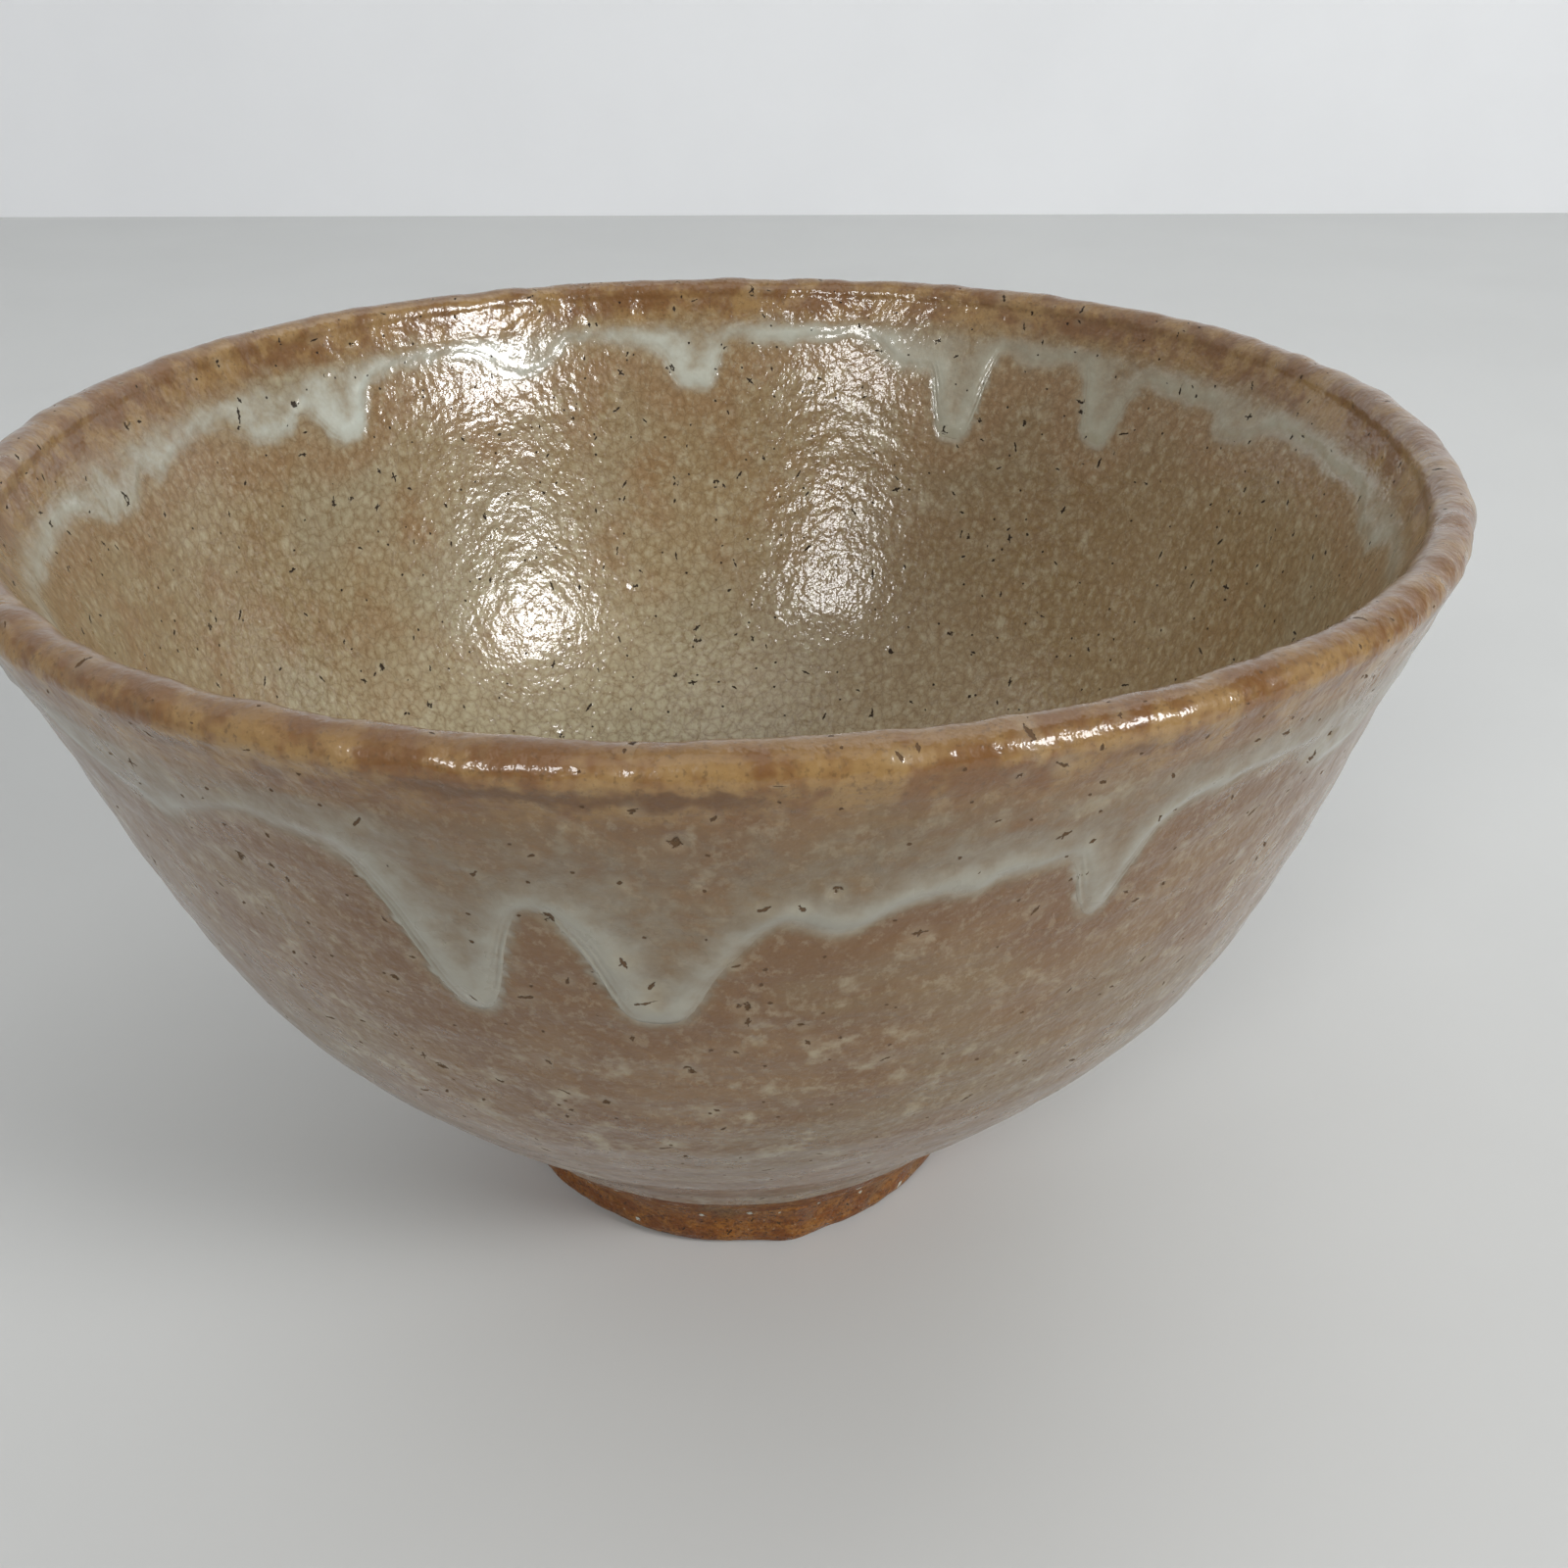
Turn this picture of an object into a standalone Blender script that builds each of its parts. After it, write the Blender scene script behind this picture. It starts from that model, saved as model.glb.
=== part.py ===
"""A thrown stoneware tea bowl: its clay body, trimmed foot ring, two glaze coats and two ash glazes.

Metres, +Z up. The origin is on the bowl's axis, in the plane that the foot stands on. Azimuths are
measured from +X towards +Y, and -Y is the bowl's front. Every surface is set out on the turned form
first, and by_hand() then gives it the slight oval and the uneven rim of a bowl made by hand.
"""

from math import cos, exp, hypot, pi, radians, sin

import bmesh
import bpy
from mathutils import Vector

MM = 0.001

# Driving dimensions.
RIM_HEIGHT = 90.4 * MM
FOOT_HEIGHT = 8.2 * MM
FOOT_RADIUS = 27.8 * MM
RECESS_RADIUS = 19.4 * MM
GAP = 0.3 * MM

# The finished surfaces as (radius, height) in millimetres, from the lip's widest point down.
OUTSIDE_POINTS = [
    (75.0, 88.3), (70.5, 75.6), (65.4, 59.1), (58.5, 42.7), (47.4, 27.9), (36.9, 16.5), (31.0, 8.2),
]
INSIDE_POINTS = [
    (70.7, 88.4), (65.8, 77.1), (60.4, 60.9), (53.5, 45.6), (42.4, 32.0), (31.5, 22.0), (16.5, 16.4),
    (0.0, 14.8),
]

# The potter's hand: the oval of the rim, and the rise and fall of its edge.
RIM_OVAL = 0.02
OVAL_AZIMUTH = radians(55)
RIM_TILT = 0.2 * MM
RIM_WAVE = 0.3 * MM

# The coats, measured inwards from the finished surface. The ash glaze stands proud of it.
ASH_PROUD = 0.4 * MM
ASH_THICKNESS = 0.5 * MM
GLAZE_THICKNESS = 0.7 * MM
GLAZE_TOP = ASH_THICKNESS - ASH_PROUD + GAP
CLAY_BED = GLAZE_TOP + GLAZE_THICKNESS + GAP

# Where the coats start and end, as distances down the wall from the lip.
OUTER_GLAZE_START = 2.0 * MM
INNER_GLAZE_START = 1.6 * MM
CLAY_STEP = 0.4 * MM
BARE_CLAY = 4.0 * MM
OUTER_EDGE_RISE = 1.8 * MM
OUTER_EDGE_WAVE = 0.9 * MM
OUTER_ASH_START = 3.0 * MM
OUTER_ASH_END = 6.0 * MM
INNER_ASH_START = 2.8 * MM
INNER_ASH_END = 6.0 * MM

# Veils and runs of the ash glaze: azimuth in degrees, length in millimetres, half width in degrees.
OUTER_RUNS = [
    (-129, 6, 7), (-107.6, 16.5, 3.6), (-95.8, 12.5, 3.8), (-91, 4, 2.5), (-87, 8, 26), (-83.3, 2.5, 3),
    (-66.2, 8, 2.2), (-46, 4, 5), (-30, 5, 16), (-20, 9, 3.5), (6, 4, 5), (15, 7, 22), (28, 11, 3.5),
    (48, 6, 4), (66, 6, 18), (72, 12, 3.6), (90, 5, 4), (112, 8, 22), (116, 6, 4), (135, 13, 3.5),
    (157, 5, 5), (165, 6, 20), (178, 8, 3.5), (-160, 5, 12), (-152, 6, 5),
]
INNER_RUNS = [
    (177, 3.4, 5), (166, 2.2, 4), (151, 5, 5), (140.7, 7.2, 4), (115.5, 3, 5), (94.5, 7.2, 3.6),
    (67, 3, 4), (60.8, 12.5, 3.2), (41.8, 8.7, 3.2), (22.8, 3.3, 4), (-9, 2, 5), (-33, 6, 4),
    (-58, 4, 5), (-80, 9, 4), (-101, 5, 4), (-126, 7, 4.5), (-150, 4, 5),
]

SEGMENTS = 48
ASH_SEGMENTS = 144
LIP_ROWS = 6

CLAY = ("stoneware_clay", (0.36, 0.20, 0.10), 0.75)
FOOT_CLAY = ("foot_clay", (0.33, 0.17, 0.08), 0.65)
FELDSPAR = ("feldspar_glaze", (0.42, 0.33, 0.23), 0.2)
ASH = ("straw_ash_glaze", (0.60, 0.60, 0.56), 0.18)


class Surface:
    """A smooth turned surface, read by the distance down it from the lip."""

    def __init__(self, points, outward, steps=24):
        self.points = smooth_path([(r * MM, z * MM) for r, z in points], steps)
        self.outward = outward
        self.down = [0.0]
        for (r0, z0), (r1, z1) in zip(self.points, self.points[1:]):
            self.down.append(self.down[-1] + hypot(r1 - r0, z1 - z0))
        self.length = self.down[-1]

    def at(self, distance, depth=0.0):
        """The (radius, height) at a distance down the wall, and at a depth into the wall."""
        i = 1
        while i < len(self.down) - 1 and self.down[i] < distance:
            i += 1
        (r0, z0), (r1, z1) = self.points[i - 1], self.points[i]
        span = self.down[i] - self.down[i - 1]
        part = (distance - self.down[i - 1]) / span
        into = depth * self.outward / span
        radius = r0 + (r1 - r0) * part + (z1 - z0) * into
        return max(radius, 0.0), z0 + (z1 - z0) * part - (r1 - r0) * into

    def strip(self, start, end, depth, rows):
        """Rows of points from one distance down the wall to another, at one depth."""
        return [self.at(start + (end - start) * i / (rows - 1), depth) for i in range(rows)]


def smooth_path(points, steps):
    """A Catmull-Rom curve through the points. It is level where it reaches the axis."""
    first = tuple(2 * a - b for a, b in zip(points[0], points[1]))
    last = tuple(2 * a - b for a, b in zip(points[-1], points[-2]))
    if points[-1][0] == 0:
        last = (-points[-2][0], points[-2][1])
    line = [first, *points, last]
    path = []
    for a, b, c, d in zip(line, line[1:], line[2:], line[3:]):
        for i in range(steps):
            t = i / steps
            path.append(tuple(
                0.5 * (2 * q + (r - p) * t + (2 * p - 5 * q + 4 * r - s) * t**2
                       + (3 * q - p - 3 * r + s) * t**3)
                for p, q, r, s in zip(a, b, c, d)
            ))
    return path + [points[-1]]


def by_hand(radius, azimuth, height):
    """Where a point of the turned form lies on the bowl as the hand left it."""
    rise = max(height / RIM_HEIGHT, 0.0)
    radius *= 1 + RIM_OVAL * rise**1.5 * cos(2 * (azimuth - OVAL_AZIMUTH))
    lift = RIM_WAVE * sin(3 * azimuth) - RIM_TILT * cos(azimuth)
    return Vector((radius * cos(azimuth), radius * sin(azimuth), height + lift * rise**2))


def run_end(azimuth, end, runs):
    """How far down the wall the ash glaze reaches at an azimuth."""
    reach = end
    for centre, length, half_width in runs:
        away = (azimuth - radians(centre) + pi) % (2 * pi) - pi
        reach += length * MM * exp(-abs(away / radians(half_width)) ** 2.4)
    return reach


def material(name, colour, roughness):
    """The material of that name, made when it is first asked for."""
    made = bpy.data.materials.get(name)
    if made is None:
        made = bpy.data.materials.new(name)
        made.use_nodes = True
        shader = made.node_tree.nodes["Principled BSDF"]
        shader.inputs["Base Color"].default_value = (*colour, 1.0)
        shader.inputs["Roughness"].default_value = roughness
        shader.inputs["Metallic"].default_value = 0.0
    return made


def turned(name, outline_at, segments, finish):
    """A solid whose outline at each azimuth is outline_at(azimuth), a loop of (radius, height) points
    that runs down the outer side and back up the inner one. An outline that starts and ends on the
    axis is left open there."""
    bm = bmesh.new()
    rings = []
    poles = {}
    for i in range(segments):
        azimuth = 2 * pi * i / segments
        ring = []
        for row, (radius, height) in enumerate(outline_at(azimuth)):
            if radius > 0:
                ring.append(bm.verts.new(by_hand(radius, azimuth, height)))
                continue
            if row not in poles:
                poles[row] = bm.verts.new((0, 0, height))
            ring.append(poles[row])
        rings.append(ring)
    rows = len(rings[0])
    spans = rows - 1 if poles else rows
    for ring, following in zip(rings, rings[1:] + rings[:1]):
        for row in range(spans):
            after = (row + 1) % rows
            corners = [ring[row], ring[after], following[after], following[row]]
            bm.faces.new(dict.fromkeys(corners))  # a pole is listed once, which leaves a triangle
    mesh = bpy.data.meshes.new(name)
    bm.to_mesh(mesh)
    bm.free()
    mesh.shade_smooth()
    mesh.set_sharp_from_angle(angle=radians(50))
    mesh.materials.append(material(*finish))
    piece = bpy.data.objects.new(name, mesh)
    bpy.context.scene.collection.objects.link(piece)
    return piece


def clay_body():
    """The thrown wall with its rounded lip, and the underside that the foot ring is set on."""
    bare = OUTSIDE.length - BARE_CLAY
    lip_outer, lip_inner = Vector(OUTSIDE.at(0)), Vector(INSIDE.at(0))
    middle, half = (lip_outer + lip_inner) / 2, (lip_outer - lip_inner) / 2
    up = Vector((-half.y, half.x))
    lip = []
    for i in range(LIP_ROWS + 1):
        turn = pi * i / LIP_ROWS
        lip.append(tuple(middle - half * cos(turn) + up * sin(turn)))
    inner_top, outer_top = INNER_GLAZE_START, OUTER_GLAZE_START
    inner_wall = [(0.0, INSIDE.at(INSIDE.length, CLAY_BED)[1])]
    inner_wall += INSIDE.strip(INSIDE.length - 8 * MM, inner_top, CLAY_BED, 11)
    inner_wall += [INSIDE.at(inner_top - CLAY_STEP)]
    outer_wall = [OUTSIDE.at(outer_top - CLAY_STEP)]
    outer_wall += OUTSIDE.strip(outer_top, bare, CLAY_BED, 10)
    outer_wall += OUTSIDE.strip(bare + CLAY_STEP, OUTSIDE.length, 0.0, 2)
    boss = RECESS_RADIUS - 0.9 * MM
    underside = [
        (boss, FOOT_HEIGHT), (boss - 0.5 * MM, FOOT_HEIGHT - 1.6 * MM), (7 * MM, 5.9 * MM),
        (2.5 * MM, 5.2 * MM), (0.0, 4.9 * MM),
    ]
    outline = inner_wall + lip + outer_wall + underside
    return turned("clay_body", lambda azimuth: outline, SEGMENTS, CLAY)


def foot_ring():
    """The ring that the potter trims with a knife: slightly faceted outside, undercut inside."""
    top = FOOT_HEIGHT - GAP

    def outline_at(azimuth):
        cut = 0.25 * MM * cos(5 * azimuth + 0.6) + 0.2 * MM * cos(9 * azimuth + 2.0)
        outer = FOOT_RADIUS + cut
        inner = RECESS_RADIUS + 0.3 * MM * cos(3 * azimuth)
        return [
            (outer + 2.6 * MM, top), (outer + 1.5 * MM, 5.0 * MM), (outer + 0.6 * MM, 2.0 * MM),
            (outer, 0.7 * MM), (outer - 0.8 * MM, 0.0), (inner + 1.6 * MM, 0.0),
            (inner + 0.7 * MM, 0.6 * MM), (inner + 0.1 * MM, 3.0 * MM), (inner, top),
        ]

    return turned("foot_ring", outline_at, SEGMENTS, FOOT_CLAY)


def outer_glaze():
    """The feldspar glaze outside, from under the lip to a wavy edge above the foot."""
    lowest = OUTSIDE.length - BARE_CLAY - OUTER_EDGE_RISE

    def outline_at(azimuth):
        end = lowest + OUTER_EDGE_WAVE * (0.6 * sin(3 * azimuth + 1) + 0.4 * sin(8 * azimuth))
        return (
            OUTSIDE.strip(OUTER_GLAZE_START + CLAY_STEP, end, GLAZE_TOP, 10)
            + OUTSIDE.strip(end, OUTER_GLAZE_START + CLAY_STEP, GLAZE_TOP + GLAZE_THICKNESS, 10)
        )

    return turned("outer_glaze", outline_at, SEGMENTS, FELDSPAR)


def inner_glaze():
    """The feldspar glaze inside, from under the lip to the pool on the floor."""
    centre = INSIDE.length
    start, end = INNER_GLAZE_START + CLAY_STEP, centre - 8 * MM
    under = GLAZE_TOP + GLAZE_THICKNESS
    outline = [(0.0, INSIDE.at(centre, GLAZE_TOP)[1])] + INSIDE.strip(end, start, GLAZE_TOP, 11)
    outline += INSIDE.strip(start, end, under, 11) + [(0.0, INSIDE.at(centre, under)[1])]
    return turned("inner_glaze", lambda azimuth: outline, SEGMENTS, FELDSPAR)


def ash_glaze(name, surface, start, end, runs):
    """The white ash glaze poured round the rim on one side of the wall, and its runs."""
    def outline_at(azimuth):
        reach = run_end(azimuth, end, runs)
        front = surface.strip(start, reach, -ASH_PROUD, 4)
        back = surface.strip(reach, start, ASH_THICKNESS - ASH_PROUD, 4)
        loop = front + back
        return loop if surface.outward > 0 else loop[::-1]

    return turned(name, outline_at, ASH_SEGMENTS, ASH)


OUTSIDE = Surface(OUTSIDE_POINTS, 1)
INSIDE = Surface(INSIDE_POINTS, -1)

for leftover in list(bpy.data.objects):
    bpy.data.objects.remove(leftover)

clay_body()
foot_ring()
outer_glaze()
inner_glaze()
ash_glaze("outer_ash_runs", OUTSIDE, OUTER_ASH_START, OUTER_ASH_END, OUTER_RUNS)
ash_glaze("inner_ash_runs", INSIDE, INNER_ASH_START, INNER_ASH_END, INNER_RUNS)
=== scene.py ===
"""The looks of the stoneware tea bowl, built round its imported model.

Metres, +Z up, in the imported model's frame. Azimuths are measured from +X towards +Y, and the camera
stands on the -Y side. The bowl's section is one line that is read by the distance along it from the
crown of the lip: below zero inside the bowl, above zero outside.
"""

from functools import reduce
from itertools import product
from math import cos, pi, radians, sin

import bpy
import numpy as np
from mathutils import Matrix, Vector
from mathutils.kdtree import KDTree


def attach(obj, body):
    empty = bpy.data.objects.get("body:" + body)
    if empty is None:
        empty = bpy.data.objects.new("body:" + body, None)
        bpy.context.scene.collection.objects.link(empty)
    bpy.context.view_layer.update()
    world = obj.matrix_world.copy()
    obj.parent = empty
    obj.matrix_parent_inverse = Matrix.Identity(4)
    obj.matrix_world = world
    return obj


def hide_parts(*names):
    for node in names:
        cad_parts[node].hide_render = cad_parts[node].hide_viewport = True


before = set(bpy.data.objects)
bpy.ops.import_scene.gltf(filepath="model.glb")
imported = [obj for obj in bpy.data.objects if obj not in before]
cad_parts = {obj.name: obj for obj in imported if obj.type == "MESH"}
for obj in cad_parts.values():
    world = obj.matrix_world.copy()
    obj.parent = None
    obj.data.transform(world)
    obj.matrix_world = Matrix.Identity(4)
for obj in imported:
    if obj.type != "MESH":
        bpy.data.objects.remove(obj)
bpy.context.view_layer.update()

MM = 0.001

# The turned form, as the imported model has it: (radius, height) in millimetres from the lip down.
OUTSIDE_POINTS = [
    (75.0, 88.3), (70.3, 75.6), (65.2, 59.1), (58.4, 42.7), (47.4, 27.9), (36.9, 16.5), (31.0, 8.2),
]
INSIDE_POINTS = [
    (70.7, 88.4), (65.8, 77.1), (60.4, 60.9), (53.5, 45.6), (42.4, 32.0), (31.5, 22.0), (16.5, 16.4),
    (0.0, 14.8),
]
RIM_HEIGHT = 90.4 * MM
RIM_OVAL = 0.02
OVAL_AZIMUTH = radians(55)
RIM_TILT = 0.2 * MM
RIM_WAVE = 0.3 * MM

# The ash glaze: where it starts and ends, as distances down the wall, and its veils and runs as
# azimuth in degrees, length in millimetres and half width in degrees.
OUTER_ASH = (2.6 * MM, 6.0 * MM)
INNER_ASH = (2.4 * MM, 6.0 * MM)
OUTER_RUNS = [
    (-129, 6, 7), (-107.6, 16.5, 3.6), (-95.8, 12.5, 3.8), (-91, 4, 2.5), (-87, 8, 26), (-83.3, 2.5, 3),
    (-66.2, 8, 2.2), (-46, 4, 5), (-30, 5, 16), (-20, 9, 3.5), (6, 4, 5), (15, 7, 22), (28, 11, 3.5),
    (48, 6, 4), (66, 6, 18), (72, 12, 3.6), (90, 5, 4), (112, 8, 22), (116, 6, 4), (135, 13, 3.5),
    (157, 5, 5), (165, 6, 20), (178, 8, 3.5), (-160, 5, 12), (-152, 6, 5),
]
INNER_RUNS = [
    (177, 3.4, 5), (166, 2.2, 4), (151, 5, 5), (140.7, 7.2, 4), (115.5, 3, 5), (94.5, 7.2, 3.6),
    (67, 3, 4), (60.8, 12.5, 3.2), (41.8, 8.7, 3.2), (22.8, 3.3, 4), (-9, 2, 5), (-33, 6, 4),
    (-58, 4, 5), (-80, 9, 4), (-101, 5, 4), (-126, 7, 4.5), (-150, 4, 5),
]

# How blunt the runs' tips are, outside (1) and inside (-1).
ROUNDNESS = {1: 2.8, -1: 4}

# The pits that stand out, as azimuth in degrees and millimetres down the wall.
INNER_PITS = [
    (92, 26.6), (97.5, 26.6), (104.8, 41), (57.4, 15.7), (95.8, 49.7), (55.7, 31.6), (44.5, 11.7),
    (51.6, 14.8), (100, 54.8), (124.9, 27.6), (123.9, 29.7), (143.7, 49.9), (146.2, 7.2), (140.8, 4.9),
    (110.4, 16.3), (75.2, 10.6), (38.4, 15.8), (73.1, 12.5), (47.3, 29.4), (175.4, 13), (172.8, 26),
    (148.2, 42.3), (17.4, 13.8), (5.9, 14.6), (136.3, 1.8), (169, 2.5), (106.5, 3.1),
]
OUTER_PITS = [
    (-122, 14.5), (-119.5, 14.3), (-113.3, 38.1), (-84.3, 11.5), (-93.1, 5.4), (-85.7, 27.7),
    (-89.6, 24.7), (-113.4, 25.2), (-100.9, 14.7), (-59.9, 19.5),
]

# Where the inside is darker and browner: partly a browner glaze, partly painted shade on its back right
# wall.
SHADED_BROWN_AZIMUTH = radians(38)

# Marks in the surface, in millimetres: how far apart the throwing rings are, how deep they and the
# pits are, and the pits' radii from least to most.
RING_PITCH = 6.3
FINE_RING_PITCH = 1.9
INSIDE_RINGS, OUTSIDE_RINGS, FINE_RINGS = 0.008, 0.06, 0.012
PIT_DEPTH, PIT_RADII = 0.22, (0.7, 1.2)

# How far the backs of the glaze coats lie under the surface.
GLAZE_THICKNESS = 0.8 * MM
ASH_THICKNESS = 0.3 * MM

# How finely the pieces are meshed.
COLUMNS = 600
ASH_COLUMNS = 900

# Colours, linear.
INSIDE_BEIGE = (0.325, 0.25, 0.14)
INSIDE_WARM = (0.29, 0.18, 0.088)
INSIDE_GREY = (0.33, 0.295, 0.195)
# Paler towards the floor of the bowl: partly glaze pooled there, partly a painted sheen of the windows'
# glare.
POOLED_GLAZE_AND_SHEEN = (0.51, 0.465, 0.315)
# Darker brown for the inside's back right: partly the glaze's tone, partly painted shade.
INSIDE_SHADED_BROWN = (0.235, 0.155, 0.068)
# The outside colours, here and in the ash and veil below, are darker than the inside's: partly the outer
# glaze's own tone, partly painted shade for the shade on the bowl's front.
OUTSIDE_BEIGE = (0.21, 0.12, 0.053)
OUTSIDE_WARM = (0.16, 0.076, 0.028)
OUTSIDE_GREY = (0.195, 0.136, 0.068)
PALE = (0.47, 0.42, 0.29)
GAP = (0.19, 0.11, 0.045)
SPECK = (0.10, 0.055, 0.025)
LIP_BROWN = (0.185, 0.084, 0.028)
LIP_OCHRE = (0.32, 0.195, 0.075)
LIP_DARK = (0.13, 0.06, 0.02)
DARK = (0.02, 0.011, 0.006)
ASH_INSIDE = (0.57, 0.61, 0.55)
ASH_OUTSIDE = (0.35, 0.335, 0.275)
VEIL_INSIDE = (0.32, 0.275, 0.20)
VEIL_OUTSIDE = (0.20, 0.156, 0.097)
CLAY = (0.185, 0.058, 0.009)
CLAY_PALE = (0.29, 0.118, 0.022)
CLAY_DARK = (0.085, 0.028, 0.006)
FLOOR_COLOUR = (0.62, 0.63, 0.62)
WALL_COLOUR = (0.80, 0.81, 0.82)
# The wall's faint glow: painted light.
WALL_GLOW = (0.93, 0.96, 1.0)

# Where the floor ends at the wall, where the camera stands, and what the lamps point at.
WALL_PLACE = 0.675
CAMERA_PLACE = (0, -0.1626, 0.1378)
LAMP_TARGET = (0, 0.02, 0.06)


def smooth_path(points, steps=24):
    """A Catmull-Rom curve through the points. It is level where it reaches the axis."""
    places = np.array(points, float) * MM
    first = 2 * places[0] - places[1]
    last = 2 * places[-1] - places[-2]
    if places[-1][0] == 0:
        last = places[-2] * (-1, 1)
    line = np.vstack([first, places, last])
    t = np.arange(steps)[:, None] / steps
    path = []
    for p, q, r, s in zip(line, line[1:], line[2:], line[3:]):
        bend = (2 * p - 5 * q + 4 * r - s) * t**2 + (3 * q - p - 3 * r + s) * t**3
        path.append(0.5 * (2 * q + (r - p) * t + bend))
    return np.vstack([*path, places[-1:]])


class Section:
    """The bowl's finished section, read by the distance along it from the crown of the lip."""

    def __init__(self):
        inside = smooth_path(INSIDE_POINTS)[::-1]
        outside = smooth_path(OUTSIDE_POINTS)
        middle, half = (inside[-1] + outside[0]) / 2, (outside[0] - inside[-1]) / 2
        up = np.array([-half[1], half[0]])
        turn = np.linspace(pi, 0, 25)[1:-1, None]
        self.line = np.vstack([inside, middle + half * np.cos(turn) + up * np.sin(turn), outside])
        steps = np.hypot(*np.diff(self.line, axis=0).T)
        along = np.concatenate([[0], np.cumsum(steps)])
        self.lip = pi / 2 * np.hypot(*half)
        self.along = along - along[len(inside) - 1] - self.lip
        self.tangent = np.gradient(self.line, self.along, axis=0)
        self.inside_end, self.outside_end = self.along[0], self.along[-1]

    def at(self, along, lift=0.0):
        """Radius and height at distances along the section, lifted off the finished surface."""
        radius, height = (np.interp(along, self.along, column) for column in self.line.T)
        run, rise = (np.interp(along, self.along, column) for column in self.tangent.T)
        length = np.hypot(run, rise)
        return radius - rise / length * lift, height + run / length * lift


SECTION = Section()


def by_hand(radius, azimuth, height):
    """Where points of the turned form lie on the bowl as the hand left it."""
    rise = np.maximum(height / RIM_HEIGHT, 0)
    radius = radius * (1 + RIM_OVAL * rise**1.5 * np.cos(2 * (azimuth - OVAL_AZIMUTH)))
    lift = RIM_WAVE * np.sin(3 * azimuth) - RIM_TILT * np.cos(azimuth)
    return np.stack([radius * np.cos(azimuth), radius * np.sin(azimuth), height + lift * rise**2], -1)


def smooth_step(low, high, value):
    """0 below low and 1 above high, with a smooth change between them."""
    part = np.clip((value - low) / (high - low), 0, 1)
    return part * part * (3 - 2 * part)


def noise(points, size, seed):
    """Smooth random values from -1 to 1 at points, which change over about that size."""
    cell = points / size
    base = np.floor(cell)
    part = cell - base
    part = part * part * (3 - 2 * part)
    corner = base.astype(np.int64)
    total = np.zeros(points.shape[:-1])
    for step in product((0, 1), repeat=3):
        x, y, z = np.moveaxis(corner + step, -1, 0)
        key = (x * 73856093) ^ (y * 19349663) ^ (z * 83492791) ^ (seed * 2654435761)
        for shift, factor in ((15, 739982445), (12, 695872825), (15, 1)):
            key = ((key ^ (key >> shift)) * factor) & 0xFFFFFFFF
        weight = np.prod(np.where(step, part, 1 - part), axis=-1)
        total += weight * key / 0xFFFFFFFF
    return 2 * total - 1


def run_end(azimuth, end, runs, roundness):
    """How far down the wall the ash glaze reaches. Rounder runs have blunter tips."""
    reach = np.full(azimuth.shape, end)
    for centre, length, half_width in runs:
        away = (azimuth - radians(centre) + pi) % (2 * pi) - pi
        reach = reach + length * MM * np.exp(-np.abs(away / radians(half_width)) ** roundness)
    return reach


class AshEdge:
    """The lower edge of the ash glaze on one side of the wall: -1 inside the bowl, 1 outside it."""

    def __init__(self, side, start_and_end, runs):
        self.side = side
        self.start, self.end = start_and_end
        self.azimuth = np.linspace(-pi, pi, ASH_COLUMNS, endpoint=False)
        even = run_end(self.azimuth, self.end, runs, ROUNDNESS[side])
        ring = by_hand(SECTION.at(side * even)[0], self.azimuth, 0 * even)
        ragged = 0.9 * noise(ring, 6 * MM, 31) + 0.5 * noise(ring, 2.2 * MM, 32)
        self.reach = even + (0.4 + ragged) * MM
        self.tree = KDTree(3 * ASH_COLUMNS)
        for turn in (-1, 0, 1):
            for i, spot in enumerate(self.unrolled(self.azimuth + 2 * pi * turn, self.reach)):
                self.tree.insert(spot, i)
        self.tree.balance()

    def unrolled(self, azimuth, down):
        """Points of the wall laid flat, in millimetres."""
        radius = SECTION.at(self.side * (SECTION.lip + down))[0]
        return (np.stack([azimuth * radius, down, 0 * down], -1) / MM).reshape(-1, 3).tolist()

    def within(self, azimuth, down):
        """Millimetres from the edge: above zero within the ash glaze, below zero further down."""
        away = np.array([self.tree.find(spot)[2] for spot in self.unrolled(azimuth, down)])
        reach = np.interp(azimuth, self.azimuth, self.reach, period=2 * pi)
        return np.where(down < reach, 1, -1) * away.reshape(down.shape)

    def whiteness(self, azimuth, down, within):
        """How white the glaze is: most along the ash glaze's lower edge and at the runs' tips."""
        reach = np.interp(azimuth, self.azimuth, self.reach, period=2 * pi)
        run = smooth_step(3 * MM, 10 * MM, reach - self.end)
        tip = run * np.exp(-np.abs(reach - down) / (2.8 * MM))
        line = smooth_step(-1.5, 1.8, within) * np.exp(-np.maximum(within - 1.3, 0) / 2.6)
        veil = 0.12 * smooth_step(-1, 2, within)
        patchy = 0.46 + 0.28 * noise(place(azimuth, self.side * (SECTION.lip + down), 0), 9 * MM, 33)
        return (veil + (patchy + 0.45 * tip) * line) * smooth_step(0, 3 * MM, down - self.start)


def make_pits():
    """The pits' centres and radii: those that stand out, and others scattered over the wall."""
    chance = np.random.default_rng(5)
    places = [(azimuth, -SECTION.lip - down * MM) for azimuth, down in INNER_PITS]
    places += [(azimuth, SECTION.lip + down * MM) for azimuth, down in OUTER_PITS]
    for low, high, count in ((-90 * MM, -8 * MM, 22), (12 * MM, SECTION.outside_end - 8 * MM, 36)):
        places += zip(chance.uniform(-180, 180, count), chance.uniform(low, high, count))
    azimuths, alongs = np.array(places).T
    centres = by_hand(SECTION.at(alongs)[0], np.radians(azimuths), SECTION.at(alongs)[1])
    return list(zip(centres, chance.uniform(*PIT_RADII, len(centres)) * MM))


PITS = make_pits()


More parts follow.
